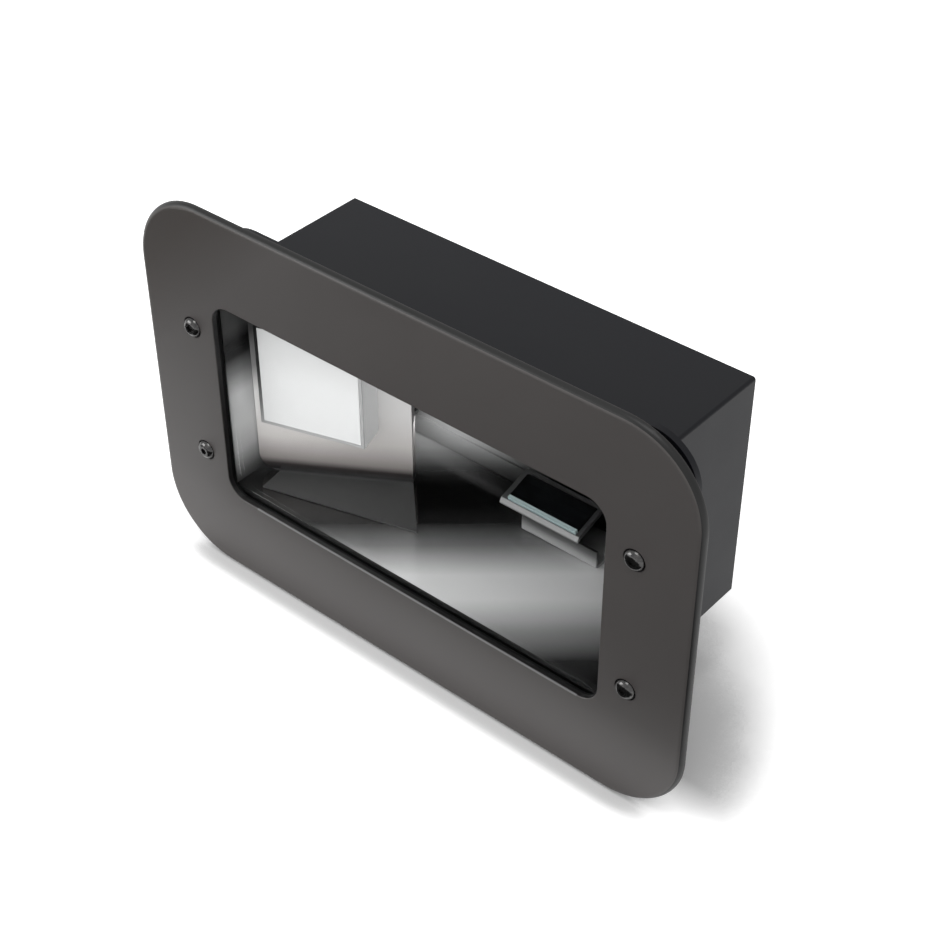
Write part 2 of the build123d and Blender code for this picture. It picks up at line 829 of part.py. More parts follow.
lens_glass_plane = sensor_plane.offset(lens_height - 2 * lens_glass_rise)
lens_sphere_r = (lens_glass_r**2 + lens_glass_rise**2) / (2 * lens_glass_rise)
lens_half_angle = asin(lens_glass_r / lens_sphere_r) / 2
with BuildPart() as lens_glass:
    with BuildSketch(Plane.XZ):
        with BuildLine():
            Line((0, 0), (lens_glass_r, 0))
            Line((lens_glass_r, 0), (lens_glass_r, lens_glass_rise))
            ThreePointArc(
                (lens_glass_r, lens_glass_rise),
                (
                    lens_sphere_r * sin(lens_half_angle),
                    2 * lens_glass_rise - lens_sphere_r * (1 - cos(lens_half_angle)),
                ),
                (0, 2 * lens_glass_rise),
            )
            Line((0, 2 * lens_glass_rise), (0, 0))
        make_face()
    revolve(axis=Axis.Z)
lens_place = lens_glass_plane.location * Location((lens_mid[0], lens_mid[1], 0))
lens_glass.part = lens_glass.part.moved(lens_place)

# Fold mirror and its bracket, which hangs from the roof
with BuildPart() as fold_mirror:
    with BuildSketch(mirror_plane):
        Rectangle(mirror_width, mirror_height)
    extrude(amount=-mirror_thick)

slope = radians(mirror_slope)
back_y = mirror_y + mirror_thick * sin(slope)
back_z = mirror_z + mirror_thick * cos(slope)
foot = (back_y + bracket_drop * cos(slope), back_z - bracket_drop * sin(slope))
foot_back = (foot[0] + bracket_thick * sin(slope), foot[1] + bracket_thick * cos(slope))
bracket_top_y = foot[0] - (housing_roof_z - foot[1]) / tan(slope)
shoulder_y = foot_back[0] - (housing_roof_z - bracket_thick - foot_back[1]) / tan(slope)
with BuildPart() as mirror_bracket:
    with BuildSketch(Plane.YZ.offset(mirror_x - bracket_width / 2)):
        with BuildLine():
            Polyline(
                foot,
                (bracket_top_y, housing_roof_z),
                (shoulder_y + bracket_flange, housing_roof_z),
                (shoulder_y + bracket_flange, housing_roof_z - bracket_thick),
                (shoulder_y, housing_roof_z - bracket_thick),
                foot_back,
                close=True,
            )
        make_face()
    extrude(amount=bracket_width)

# Processor board on standoffs from the rear cover, with its chip under a heat sink
def board_places():
    return GridLocations(
        board_width - 2 * standoff_inset, board_height - 2 * standoff_inset, 2, 2
    )


with BuildPart() as processor_board:
    with BuildSketch(upright(board_front)):
        with Locations((board_mid_x, housing_mid_z)):
            Rectangle(board_width, board_height)
            with board_places():
                Circle(small_screw_r + thread_gap, mode=Mode.SUBTRACT)
    extrude(amount=-board_thick)

with BuildPart() as board_standoffs:
    with BuildSketch(upright(board_back)):
        with Locations((board_mid_x, housing_mid_z)):
            with board_places():
                RegularPolygon(standoff_width / 2, 6, major_radius=False)
                Circle(small_screw_r + thread_gap, mode=Mode.SUBTRACT)
    extrude(amount=-standoff_length)

with BuildPart() as board_screws:
    with Locations(upright(board_front)):
        with Locations((board_mid_x, housing_mid_z)):
            with board_places():
                add(small_screw)

with BuildPart() as processor_chip:
    with BuildSketch(upright(board_front)):
        with Locations((board_mid_x, chip_z)):
            Rectangle(chip_size, chip_size)
    extrude(amount=chip_height)

sink_plane = upright(board_front - chip_height)
fin_pitch = (sink_size - sink_fin_thick) / (sink_fins - 1)
with BuildPart() as heat_sink:
    with BuildSketch(sink_plane):
        with Locations((board_mid_x, chip_z)):
            Rectangle(sink_size, sink_size)
    extrude(amount=sink_base_thick)
    with BuildSketch(sink_plane.offset(sink_base_thick)):
        with Locations((board_mid_x, chip_z)):
            with GridLocations(fin_pitch, sink_size, sink_fins, 1):
                Rectangle(sink_fin_thick, sink_size)
    extrude(amount=sink_height - sink_base_thick)

# Sockets: they stand on the back of the board and reach out through the rear cover
socket_back = cover_back + socket_proud
with BuildPart() as network_socket:
    with BuildSketch(rear_facing(board_back)):
        with Locations((-board_mid_x, network_z)):
            Rectangle(network_width, network_height)
    extrude(amount=socket_back - board_back)
    with BuildSketch(rear_facing(socket_back)):
        with Locations((-board_mid_x, network_z)):
            Rectangle(network_mouth_width, network_mouth_height)
            with Locations((0, -network_mouth_height / 2)):
                Rectangle(
                    network_notch_width, network_notch_height, align=(Align.CENTER, Align.MAX)
                )
    extrude(amount=-network_mouth_depth, mode=Mode.SUBTRACT)

with BuildPart() as power_socket:
    with BuildSketch(rear_facing(board_back)):
        with Locations((-board_mid_x, power_z)):
            Rectangle(power_width, power_height)
    extrude(amount=socket_back - board_back)
    with BuildSketch(rear_facing(socket_back)):
        with Locations((-board_mid_x, power_z)):
            Circle(power_mouth_r)
            Circle(power_pin_r, mode=Mode.SUBTRACT)
    extrude(amount=-power_mouth_depth, mode=Mode.SUBTRACT)

# Small screws: through the carrier's lip and the plate's foot, and from below into the pod
with BuildPart() as carrier_screws:
    with Locations(carrier_plan(floor_z + carrier_thick)):
        with carrier_screw_places():
            add(small_screw)

with BuildPart() as pod_screws:
    with Locations(Plane(origin=(0, 0, housing_floor_z - sheet), x_dir=(1, 0, 0), z_dir=(0, 0, -1))):
        with Locations(*[(x, -pod_foot_y) for x in pod_screw_x]):
            add(pod_screw)

with BuildPart() as plate_screws:
    with Locations(Plane.XY.offset(floor_z + plate_thick)):
        with plate_screw_places():
            add(small_screw)

for node_name, piece in {
    "front_bezel": front_bezel,
    "window_gasket": window_gasket,
    "window_glass": window_glass,
    "housing": housing,
    "front_screws": front_screws,
    "flange_nuts": flange_nuts,
    "clamp_frame": clamp_frame,
    "clamp_nuts": clamp_nuts,
    "rear_cover": rear_cover,
    "cover_screws": cover_screws,
    "floor_sheet": floor_sheet,
    "side_liners": side_liners,
    "lamp_carrier": lamp_carrier,
    "lamp_shade": lamp_shade,
    "diffuser": diffuser,
    "led_board": led_board,
    "leds": leds,
    "pod_housing": pod_housing,
    "pod_glass": pod_glass,
    "pod_plate": pod_plate,
    "sensor_board": sensor_board,
    "lens_barrel": lens_barrel,
    "lens_glass": lens_glass,
    "fold_mirror": fold_mirror,
    "mirror_bracket": mirror_bracket,
    "processor_board": processor_board,
    "board_standoffs": board_standoffs,
    "board_screws": board_screws,
    "processor_chip": processor_chip,
    "heat_sink": heat_sink,
    "network_socket": network_socket,
    "power_socket": power_socket,
    "carrier_screws": carrier_screws,
    "pod_screws": pod_screws,
    "plate_screws": plate_screws,
}.items():
    piece.part.label = node_name
    export_step(piece.part, f"parts/{node_name}.step")
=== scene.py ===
"""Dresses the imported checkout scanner: finishes for every solid, the studio and the camera.

Metres, in the part's own frame: X to the right seen from the front, Y back, Z up. The stops of
a ramp, the boxes of a patch and the card's outline are in mm.
"""
import math

import bmesh
import bpy
from mathutils import Matrix, Vector


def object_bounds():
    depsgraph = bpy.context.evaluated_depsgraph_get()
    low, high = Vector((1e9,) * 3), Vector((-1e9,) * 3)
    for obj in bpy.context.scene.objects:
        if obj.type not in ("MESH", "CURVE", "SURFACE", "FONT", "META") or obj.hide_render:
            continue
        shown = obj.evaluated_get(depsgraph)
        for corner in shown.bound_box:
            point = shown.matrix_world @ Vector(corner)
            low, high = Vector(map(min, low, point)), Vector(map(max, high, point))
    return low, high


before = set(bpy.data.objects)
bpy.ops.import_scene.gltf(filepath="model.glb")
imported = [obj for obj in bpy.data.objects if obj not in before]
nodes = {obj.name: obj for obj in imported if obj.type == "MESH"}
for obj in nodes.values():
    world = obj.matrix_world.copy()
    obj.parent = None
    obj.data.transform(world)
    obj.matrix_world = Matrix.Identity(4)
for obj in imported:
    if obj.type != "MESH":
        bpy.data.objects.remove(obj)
cad_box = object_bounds()

MM = 0.001
WHITE = (1.0, 1.0, 1.0, 1.0)

# Camera: where it stands, what it looks at, its roll and its lens
CAMERA_PLACE = Vector((410.3, -439.5, 493.8)) * MM
CAMERA_TARGET = Vector((39.39, -3.0, 36.43)) * MM
CAMERA_ROLL = math.radians(-0.17)
CAMERA_NEAR = 10.0 * MM
LENS_MM = 70.86
FILM_MM = 36.0

# World and floor
WORLD_FILL = 0.62
FLOOR_SIZE = 6.0
FLOOR_TONE = (0.8, 0.8, 0.8, 1.0)
FLOOR_ROUGH = 0.9
FLOOR_GLOW = 0.8

# Floor's shadows: the reach of each, and how open the sky is at its darkest and at its end
CONTACT_SHADOW = (14.0 * MM, 0.74, 1.0)
REAR_SHADOW = (75.0 * MM, 0.82, 0.99)

# Where the rear shadow sets in and where it is whole, as depths in mm
REAR_SHADOW_START = -2.0
REAR_SHADOW_FULL = 24.0

# Lamps: place, target, width and height, and power in watts
KEY_LIGHT = ((-0.8, -0.75, 0.35), (0.0, 0.0, 0.0), (0.6, 0.6), 6.0)
TOP_LIGHT = ((0.1, -0.25, 1.1), (0.0, 0.0, 0.0), (0.5, 0.5), 3.0)
WINDOW_LIGHT = ((0.0, 0.004, 0.0), (0.0, 0.1, 0.0), (0.212, 0.102), 0.1)
REAR_LIGHT = ((-0.054, 0.066, -0.014), (-0.059, 0.0906, -0.04), (0.04, 0.02), 0.016)

# Black card on the floor before the window: its lift, and its corners seen from above
FLAG_LIFT = 1.0 * MM
FLAG_OUTLINE = (
    (-148, -39),
    (-222, -101),
    (-310, -101),
    (-600, -215),
    (-600, -420),
    (260, -420),
    (260, -34),
)

# Grain and streaks: their scales, the grain's share of the tone and the depth of each relief
GRAIN_SCALE = 2500.0
DRIFT_SCALE = 14.0
GRAIN_SHARE = 0.45
STREAK_SCALE = 900.0
STREAK_STRETCH = 0.03
PAINT_RELIEF = 0.03 * MM
FINE_RELIEF = 0.02 * MM
STREAK_RELIEF = 0.01 * MM

# Turns that lay a ramp along the object
UPWARD = (0.0, math.radians(90.0), 0.0)
ALONG_DEPTH = (0.0, 0.0, math.radians(-90.0))

# Back and to the left over the floor sheet, and up and to the left over the rear wall
ACROSS_FLOOR = (0.0, 0.0, math.radians(-130.35))
ACROSS_REAR = (0.0, math.radians(116.6), 0.0)

# Back along the pod's sloping head, and back from the lamp's turned face
ALONG_POD = (math.radians(-17.0), 0.0, math.radians(-90.0))
BEHIND_LAMP = (0.0, 0.0, math.radians(-107.2))

# Down the carrier from its upper left, and towards the bezel's upper left corner
DOWN_CARRIER = (0.0, math.radians(-49.6), math.radians(-21.75))
TO_CORNER = (0.0, math.radians(135.0), 0.0)

# Patches of painted shade, highlight and light: the middle of each box and its reach to each side
WINDOW_WALLS_PAINTED_SHADE = ((0.0, -0.7, 0.0), (108.0, 1.6, 55.0))
BEZEL_EDGE_PAINTED_SHADE = ((0.0, -1.4, 0.0), (151.0, 1.3, 99.0))
WINDOW_EDGE_PAINTED_HIGHLIGHT = ((4.0, -2.8, -53.35), (93.0, 0.4, 0.4))
REAR_WALL_PAINTED_LIGHT = ((0.0, 89.0, 4.3), (108.9, 1.5, 56.6))
FLOOR_LIP_PAINTED_SHADE = ((0.0, 4.0, -52.0), (110.0, 0.45, 1.2))


# Colours and nodes


def rgb(red, green, blue):
    """A colour given as it looks on a screen, 0 to 255, as the linear colour a shader takes."""

    def linear(level):
        level = level / 255.0
        return level / 12.92 if level <= 0.04045 else ((level + 0.055) / 1.055) ** 2.4

    return (linear(red), linear(green), linear(blue), 1.0)


def grey(level):
    """An even grey, given as it looks on a screen."""
    return rgb(level, level, level)


def feed(tree, value, socket):
    """Links the socket to another, or sets it to a plain value."""
    if isinstance(value, bpy.types.NodeSocket):
        tree.links.new(value, socket)
    else:
        socket.default_value = value


def reckon(tree, operation, *values):
    """The result of one Math node."""
    node = tree.nodes.new("ShaderNodeMath")
    node.operation = operation
    for value, socket in zip(values, node.inputs):
        feed(tree, value, socket)
    return node.outputs["Value"]


def stretch(tree, value, low, high, to_low=0.0, to_high=1.0):
    """A value between low and high, laid between two others."""
    node = tree.nodes.new("ShaderNodeMapRange")
    feed(tree, value, node.inputs["Value"])
    feed(tree, low, node.inputs["From Min"])
    feed(tree, high, node.inputs["From Max"])
    feed(tree, to_low, node.inputs["To Min"])
    feed(tree, to_high, node.inputs["To Max"])
    return node.outputs["Result"]


def mix_node(tree, data_type, first, second, factor):
    """A Mix node between two values or two colours."""
    node = tree.nodes.new("ShaderNodeMix")
    node.data_type = data_type
    feed(tree, factor, node.inputs["Factor"])
    feed(tree, first, node.inputs["A"])
    feed(tree, second, node.inputs["B"])
    return node


def between(tree, first, second, factor):
    """A value between two others."""
    return mix_node(tree, "FLOAT", first, second, factor).outputs["Result"]


def blend(tree, kind, first, second, factor=1.0):
    """Two colours blended."""
    node = mix_node(tree, "RGBA", first, second, factor)
    node.blend_type = kind
    return node.outputs["Result"]


def noise(tree, vector, scale, detail, roughness):
    """Noise laid on a vector."""
    node = tree.nodes.new("ShaderNodeTexNoise")
    node.inputs["Detail"].default_value = detail
    node.inputs["Roughness"].default_value = roughness
    tree.links.new(vector, node.inputs["Vector"])
    feed(tree, scale, node.inputs["Scale"])
    return node.outputs["Fac"]


def place_vector(tree, turn=(0.0, 0.0, 0.0), scale=(1.0, 1.0, 1.0)):
    """Object coordinates, turned and scaled."""
    coordinates = tree.nodes.new("ShaderNodeTexCoord")
    mapping = tree.nodes.new("ShaderNodeMapping")
    mapping.inputs["Rotation"].default_value = turn
    mapping.inputs["Scale"].default_value = scale
    tree.links.new(coordinates.outputs["Object"], mapping.inputs["Vector"])
    return mapping.outputs["Vector"]


def axes(tree, turn=(0.0, 0.0, 0.0)):
    """The object's X, Y and Z as sockets, once it is turned."""
    node = tree.nodes.new("ShaderNodeSeparateXYZ")
    tree.links.new(place_vector(tree, turn=turn), node.inputs["Vector"])
    return node.outputs


def tone_along(tree, stops, turn):
    """The colour of a ramp laid along the object's X once the object is turned."""
    first = stops[0][0]
    last = stops[-1][0]
    ramp = tree.nodes.new("ShaderNodeValToRGB")
    marks = ramp.color_ramp.elements
    while len(marks) < len(stops):
        marks.new(1.0)
    for mark, (distance, colour) in zip(marks, stops):
        mark.position = (distance - first) / (last - first)
        mark.color = colour
    along = stretch(tree, axes(tree, turn)["X"], first * MM, last * MM)
    tree.links.new(along, ramp.inputs["Fac"])
    return ramp.outputs["Color"]


def box_mask(tree, middle, reach):
    """1 inside a box given by its middle and its reach to each side, and 0 outside."""
    place = axes(tree)
    mask = 1.0
    for axis, centre, half in zip("XYZ", middle, reach):
        inside = reckon(tree, "COMPARE", place[axis], centre * MM, half * MM)
        mask = reckon(tree, "MULTIPLY", mask, inside)
    return mask


# Shared effects, as node groups


def effect_group(name):
    """A node group that takes a vector, a scale, two tones and two roughnesses."""
    group = bpy.data.node_groups.new(name, "ShaderNodeTree")
    for socket_name, kind in (
        ("Vector", "NodeSocketVector"),
        ("Scale", "NodeSocketFloat"),
        ("Dark", "NodeSocketColor"),
        ("Light", "NodeSocketColor"),
        ("Rough Low", "NodeSocketFloat"),
        ("Rough High", "NodeSocketFloat"),
    ):
        group.interface.new_socket(socket_name, in_out="INPUT", socket_type=kind)
    for socket_name, kind in (
        ("Color", "NodeSocketColor"),
        ("Roughness", "NodeSocketFloat"),
        ("Height", "NodeSocketFloat"),
    ):
        group.interface.new_socket(socket_name, in_out="OUTPUT", socket_type=kind)
    return group, group.nodes.new("NodeGroupInput").outputs


def put_out(group, given, level, height):
    """Puts out the tone and roughness for a level from 0 to 1, and a height."""
    result = group.nodes.new("NodeGroupOutput").inputs
    tone = blend(group, "MIX", given["Dark"], given["Light"], level)
    rough = stretch(group, level, 0.0, 1.0, given["Rough Low"], given["Rough High"])
    group.links.new(tone, result["Color"])
    group.links.new(rough, result["Roughness"])
    group.links.new(height, result["Height"])


def grain_group():
    """Fine even grain with a slow drift of tone."""
    group, given = effect_group("fine_grain")
    grain = noise(group, given["Vector"], given["Scale"], detail=3.0, roughness=0.6)
    drift = noise(group, given["Vector"], DRIFT_SCALE, detail=4.0, roughness=0.55)
    both = between(group, drift, grain, GRAIN_SHARE)
    put_out(group, given, stretch(group, both, low=0.3, high=0.7), grain)
    return group


def brushed_group():
    """Streaks that a vector squeezed along one axis draws out."""
    group, given = effect_group("brushed_streaks")
    streaks = noise(group, given["Vector"], given["Scale"], detail=5.0, roughness=0.7)
    put_out(group, given, stretch(group, streaks, low=0.35, high=0.65), streaks)
    return group


GRAIN = grain_group()
BRUSHED = brushed_group()

# How dark the grain makes a painted tone at its darkest
GRAIN_SHADE = grey(245)


def lay_effect(tree, group, dark, light, rough, scale, squeeze=(1.0, 1.0, 1.0)):
    """The outputs of a shared effect, laid on the object with its own values."""
    effect = tree.nodes.new("ShaderNodeGroup")
    effect.node_tree = group
    feed(tree, place_vector(tree, scale=squeeze), effect.inputs["Vector"])
    feed(tree, scale, effect.inputs["Scale"])
    feed(tree, dark, effect.inputs["Dark"])
    feed(tree, light, effect.inputs["Light"])
    feed(tree, rough[0], effect.inputs["Rough Low"])
    feed(tree, rough[1], effect.inputs["Rough High"])
    return effect.outputs


# Kinds of finish


def plain_shader(name, **settings):
    """A material with one Principled shader, whose plain sockets are set by name."""
    material = bpy.data.materials.new(name)
    material.use_nodes = True
    tree = material.node_tree
    tree.nodes.clear()
    output = tree.nodes.new("ShaderNodeOutputMaterial")
    shader = tree.nodes.new("ShaderNodeBsdfPrincipled")
    tree.links.new(shader.outputs["BSDF"], output.inputs["Surface"])
    for socket_name, value in settings.items():
        shader.inputs[socket_name.replace("_", " ")].default_value = value
    return material, tree, shader


def dress_shader(tree, shader, tone, effect, bump, relief):
    """Gives the shader a tone, and the effect's roughness and relief."""
    tree.links.new(tone, shader.inputs["Base Color"])
    tree.links.new(effect["Roughness"], shader.inputs["Roughness"])
    if bump:
        node = tree.nodes.new("ShaderNodeBump")
        node.inputs["Strength"].default_value = bump
        node.inputs["Distance"].default_value = relief
        tree.links.new(effect["Height"], node.inputs["Height"])
        tree.links.new(node.outputs["Normal"], shader.inputs["Normal"])


def grained(name, dark, light, rough, grain=GRAIN_SCALE, bump=0.1, **settings):
    """Paint, moulded plastic or rubber: fine grain and a slow drift of tone."""
    material, tree, shader = plain_shader(name, **settings)
    effect = lay_effect(tree, GRAIN, dark, light, rough, grain)
    dress_shader(tree, shader, effect["Color"], effect, bump, PAINT_RELIEF)
    return material


def brushed(name, dark, light, rough, along, bump=0.05, metallic=1.0):
    """Metal brushed along one axis, given as the axis' place in X, Y, Z."""
    material, tree, shader = plain_shader(name, Metallic=metallic)
    squeeze = [1.0, 1.0, 1.0]
    squeeze[along] = STREAK_STRETCH
    effect = lay_effect(tree, BRUSHED, dark, light, rough, STREAK_SCALE, squeeze)
    dress_shader(tree, shader, effect["Color"], effect, bump, STREAK_RELIEF)
    return material


def painted_light_finish(name, stops, turn, rough, shade=None, bump=0.04, **settings):
    """A finish whose tone runs through stops, each a distance and a colour, painting light and
    shade.

    The distance is measured from the part's origin along the object's X once turned, and
    shade, where given, is a second set of stops and turn that paints shade over the first.
    """
    material, tree, shader = plain_shader(name, **settings)
    tone = tone_along(tree, stops, turn)
    if shade:
        tone = blend(tree, "MULTIPLY", tone, tone_along(tree, *shade))
    effect = lay_effect(tree, GRAIN, GRAIN_SHADE, WHITE, rough, GRAIN_SCALE)
    tone = blend(tree, "MULTIPLY", tone, effect["Color"])
    dress_shader(tree, shader, tone, effect, bump, FINE_RELIEF)
    return material


def patch(material, box, tone, rough=None):
    """Gives the material another tone, and roughness, inside a box."""
    tree = material.node_tree
    shader = next(node for node in tree.nodes if node.type == "BSDF_PRINCIPLED")
    mask = box_mask(tree, *box)
    socket = shader.inputs["Base Color"]
    plain = socket.links[0].from_socket
    tree.links.new(blend(tree, "MIX", plain, tone, mask), socket)
    if rough is not None:
        socket = shader.inputs["Roughness"]
        plain = socket.links[0].from_socket
        tree.links.new(between(tree, plain, rough, mask), socket)


# Bezel, gasket and window

# Bezel paint, lighter along its lower band as painted reflection, and darker and warmer towards
# its upper left corner as painted shade
bezel_paint = painted_light_finish(
    "bezel_paint",
    [
        (-90.0, rgb(76, 73, 72)),
        (-62.0, rgb(75, 72, 71)),
        (-48.0, rgb(69, 66, 65)),
        (80.0, rgb(71, 68, 67)),
    ],
    UPWARD,
    rough=(0.36, 0.46),
    # Painted shade towards the bezel's upper left corner
    shade=(
        [
            (60.0, grey(255)),
            (112.0, grey(248)),
            (146.0, rgb(178, 168, 160)),
            (172.0, rgb(140, 130, 122)),
        ],
        TO_CORNER,
    ),
    bump=0.12,
    Specular_IOR_Level=0.35,
)
# Painted shade: the window's inner walls dark
patch(bezel_paint, WINDOW_WALLS_PAINTED_SHADE, grey(26))
# Painted shade: the bezel's rounded edges and sides dark
patch(bezel_paint, BEZEL_EDGE_PAINTED_SHADE, grey(16))
# Painted highlight: a light line along the window's lower edge
patch(bezel_paint, WINDOW_EDGE_PAINTED_HIGHLIGHT, grey(108))

gasket_rubber = grained(
    "gasket_rubber",
    rgb(14, 14, 14),
    rgb(20, 20, 20),
    rough=(0.5, 0.65),
    grain=1800.0,
    Specular_IOR_Level=0.1,
)
window_glass, _, _ = plain_shader(
    "window_glass",
    Base_Color=rgb(251, 252, 252),
    Roughness=0.0,
    IOR=1.5,
    Transmission_Weight=1.0,
    Specular_Tint=grey(0),
)

# Housing, with painted light on its rear wall, and its lining

housing_paint = grained(
    "housing_paint",
    rgb(16, 17, 21),
    rgb(20, 21, 26),
    rough=(0.38, 0.5),
    grain=3800.0,
    Specular_IOR_Level=0.14,
)
# Painted light: a slanting band of light across the inside of the rear wall, faded to dark higher
# up as painted shade
rear_painted_light = tone_along(
    housing_paint.node_tree,
    [
        (-52.0, grey(8)),
        (-41.0, grey(28)),
        (-35.2, grey(54)),
        (-31.0, grey(82)),
        (-26.7, grey(112)),
        (-22.4, grey(138)),
        (-17.0, grey(158)),
        (-9.0, grey(172)),
        (6.0, grey(20)),
    ],
    ACROSS_REAR,
)
rear_painted_fade = tone_along(housing_paint.node_tree, [(-39.0, grey(255)), (-34.0, grey(20))], UPWARD)
rear_painted_shine = blend(housing_paint.node_tree, "MULTIPLY", rear_painted_light, rear_painted_fade)
patch(housing_paint, REAR_WALL_PAINTED_LIGHT, rear_painted_shine)

# Side liners: bands of painted reflection up the polished steel, dark at top and bottom and light
# in the middle
polished_steel = painted_light_finish(
    "polished_steel",
    [
        (-54.0, grey(30)),
        (-46.0, grey(104)),
        (-33.0, grey(184)),
        (-20.0, grey(206)),
        (-3.0, grey(194)),
        (9.0, grey(116)),
        (18.0, grey(34)),
        (25.0, grey(18)),
        (33.0, grey(56)),
    ],
    UPWARD,
    rough=(0.2, 0.28),
    Metallic=0.25,
    Specular_IOR_Level=0.15,
)
# Floor sheet: light and dark bands across it, as painted reflection and light
gloss_floor = painted_light_finish(
    "gloss_floor",
    [
        (-60.0, grey(20)),
        (-46.0, grey(40)),
        (-28.0, grey(128)),
        (-8.0, grey(203)),
        (8.0, grey(206)),
        (28.0, grey(116)),
        (44.0, grey(32)),
        (56.0, grey(13)),
        (71.0, grey(10)),
        (78.0, grey(28)),
        (84.0, grey(54)),
        (90.0, grey(88)),
        (96.0, grey(120)),
        (108.0, grey(186)),
    ],
    ACROSS_FLOOR,
    rough=(0.05, 0.08),
    bump=0.0,
    IOR=1.6,
)
# Painted shade: the floor sheet's front lip near black and rough, under the window's edge
patch(gloss_floor, FLOOR_LIP_PAINTED_SHADE, grey(8), rough=0.85)

# Lamp and its carrier

# Lamp carrier: dark at its foot and lighter upward as painted light and shade, with a painted
# shadow across its upper left
carrier_paint = painted_light_finish(
    "carrier_paint",
    [
        (-50.4, grey(68)),
        (-50.0, grey(68)),
        (-49.6, rgb(24, 23, 24)),
        (-46.5, rgb(50, 47, 47)),
        (-43.0, rgb(130, 125, 123)),
        (-30.0, rgb(184, 180, 178)),
        (-14.0, rgb(204, 202, 201)),
        (30.0, rgb(212, 212, 212)),
    ],
    UPWARD,
    rough=(0.3, 0.42),
    shade=(
        [(-77.0, grey(60)), (-63.0, grey(140)), (-52.5, grey(245)), (-43.0, grey(255))],
        DOWN_CARRIER,
    ),
    Specular_IOR_Level=0.2,
)
# Lamp shade: rim darker and side lighter as painted light, and darker towards its upper left as
# painted shade
shade_paint = painted_light_finish(
    "shade_paint",
    [(49.0, grey(150)), (49.4, grey(150)), (49.7, grey(248)), (60.0, grey(252))],
    BEHIND_LAMP,
    rough=(0.35, 0.5),
    shade=(
        [(-76.0, grey(40)), (-60.0, grey(80)), (-48.0, grey(170)), (-38.0, grey(255))],
        DOWN_CARRIER,
    ),
    Specular_IOR_Level=0.2,
)
# Diffuser: darker towards its top as painted shade
white_diffuser = painted_light_finish(
    "white_diffuser",
    [(-22.0, grey(202)), (6.0, grey(202)), (30.0, grey(186))],
    UPWARD,
    rough=(0.3, 0.4),
)
led_yellow = grained("led_yellow", rgb(214, 196, 96), rgb(236, 222, 140), rough=(0.2, 0.35))
mirror_glass = brushed(
    "mirror_glass",
    rgb(214, 217, 218),
    rgb(224, 226, 227),
    rough=(0.01, 0.03),
    along=0,
    bump=0.0,
)

# Camera pod

# Pod head: a light band along its front lip as painted highlight, and darker below it as painted
# shade
pod_plastic = painted_light_finish(
    "pod_plastic",
    [
        (40.0, grey(30)),
        (48.0, grey(40)),
        (48.4, grey(136)),
        (49.9, grey(136)),
        (50.3, grey(66)),
        (69.0, grey(60)),
    ],
    ALONG_POD,
    rough=(0.3, 0.42),
    Specular_IOR_Level=0.25,
)
# Pod glass: a light teal line along its front bevel as painted highlight
dark_glass = painted_light_finish(
    "dark_glass",
    [
        (50.0, rgb(146, 164, 164)),
        (52.1, rgb(166, 182, 182)),
        (52.4, rgb(12, 13, 14)),
        (68.0, rgb(15, 16, 17)),
    ],
    ALONG_POD,
    rough=(0.02, 0.04),
    bump=0.0,
    Specular_IOR_Level=0.2,
)
# Pod plate: dark towards the head above and at the floor as painted shadow, lighter low down
plate_paint = painted_light_finish(
    "plate_paint",
    [
        (-51.0, grey(90)),
        (-50.3, grey(150)),
        (-47.5, grey(128)),
        (-44.5, grey(76)),
        (-41.4, grey(34)),
    ],
    UPWARD,
    rough=(0.35, 0.5),
)
black_aluminium = grained("black_aluminium", rgb(26, 26, 27), rgb(38, 38, 39), rough=(0.3, 0.45))
lens_glass = grained("lens_glass", rgb(20, 26, 34), rgb(40, 48, 60), rough=(0.02, 0.06), bump=0.0)

# Boards, sockets and fasteners

circuit_green = grained(
    "circuit_green", rgb(14, 62, 40), rgb(20, 84, 54), rough=(0.28, 0.4), grain=900.0
)
black_plastic = grained("black_plastic", rgb(24, 24, 25), rgb(34, 34, 36), rough=(0.32, 0.46))
bare_aluminium = brushed(
    "bare_aluminium", rgb(176, 178, 180), rgb(206, 207, 208), rough=(0.24, 0.36), along=2
)
black_steel = brushed(
    "black_steel", rgb(62, 62, 63), rgb(88, 87, 86), rough=(0.14, 0.22), along=1, metallic=0.9
)
zinc_steel = brushed(
    "zinc_steel", rgb(150, 151, 152), rgb(186, 187, 186), rough=(0.26, 0.4), along=0
)

FINISHES = {
    "front_bezel": bezel_paint,
    "window_gasket": gasket_rubber,
    "window_glass": window_glass,
    "housing": housing_paint,
    "front_screws": black_steel,
    "flange_nuts": zinc_steel,
    "clamp_frame": housing_paint,
    "clamp_nuts": zinc_steel,
    "rear_cover": housing_paint,
    "cover_screws": zinc_steel,
    "floor_sheet": gloss_floor,
    "side_liners": polished_steel,
    "lamp_carrier": carrier_paint,
    "lamp_shade": shade_paint,
    "diffuser": white_diffuser,
    "led_board": circuit_green,
    "leds": led_yellow,
    "pod_housing": pod_plastic,
    "pod_glass": dark_glass,
    "pod_plate": plate_paint,
    "sensor_board": circuit_green,
    "lens_barrel": black_aluminium,
    "lens_glass": lens_glass,
    "fold_mirror": mirror_glass,
    "mirror_bracket": zinc_steel,
    "processor_board": circuit_green,
    "board_standoffs": zinc_steel,
    "board_screws": zinc_steel,
    "processor_chip": black_plastic,
    "heat_sink": bare_aluminium,
    "network_socket": black_plastic,
    "power_socket": black_plastic,
    "carrier_screws": zinc_steel,
    "pod_screws": zinc_steel,
    "plate_screws": zinc_steel,
}
for node_name, finish in FINISHES.items():
    node = nodes[node_name]
    node.data.materials.clear()
    node.data.materials.append(finish)


# Studio: world, floor, card, lamps and camera


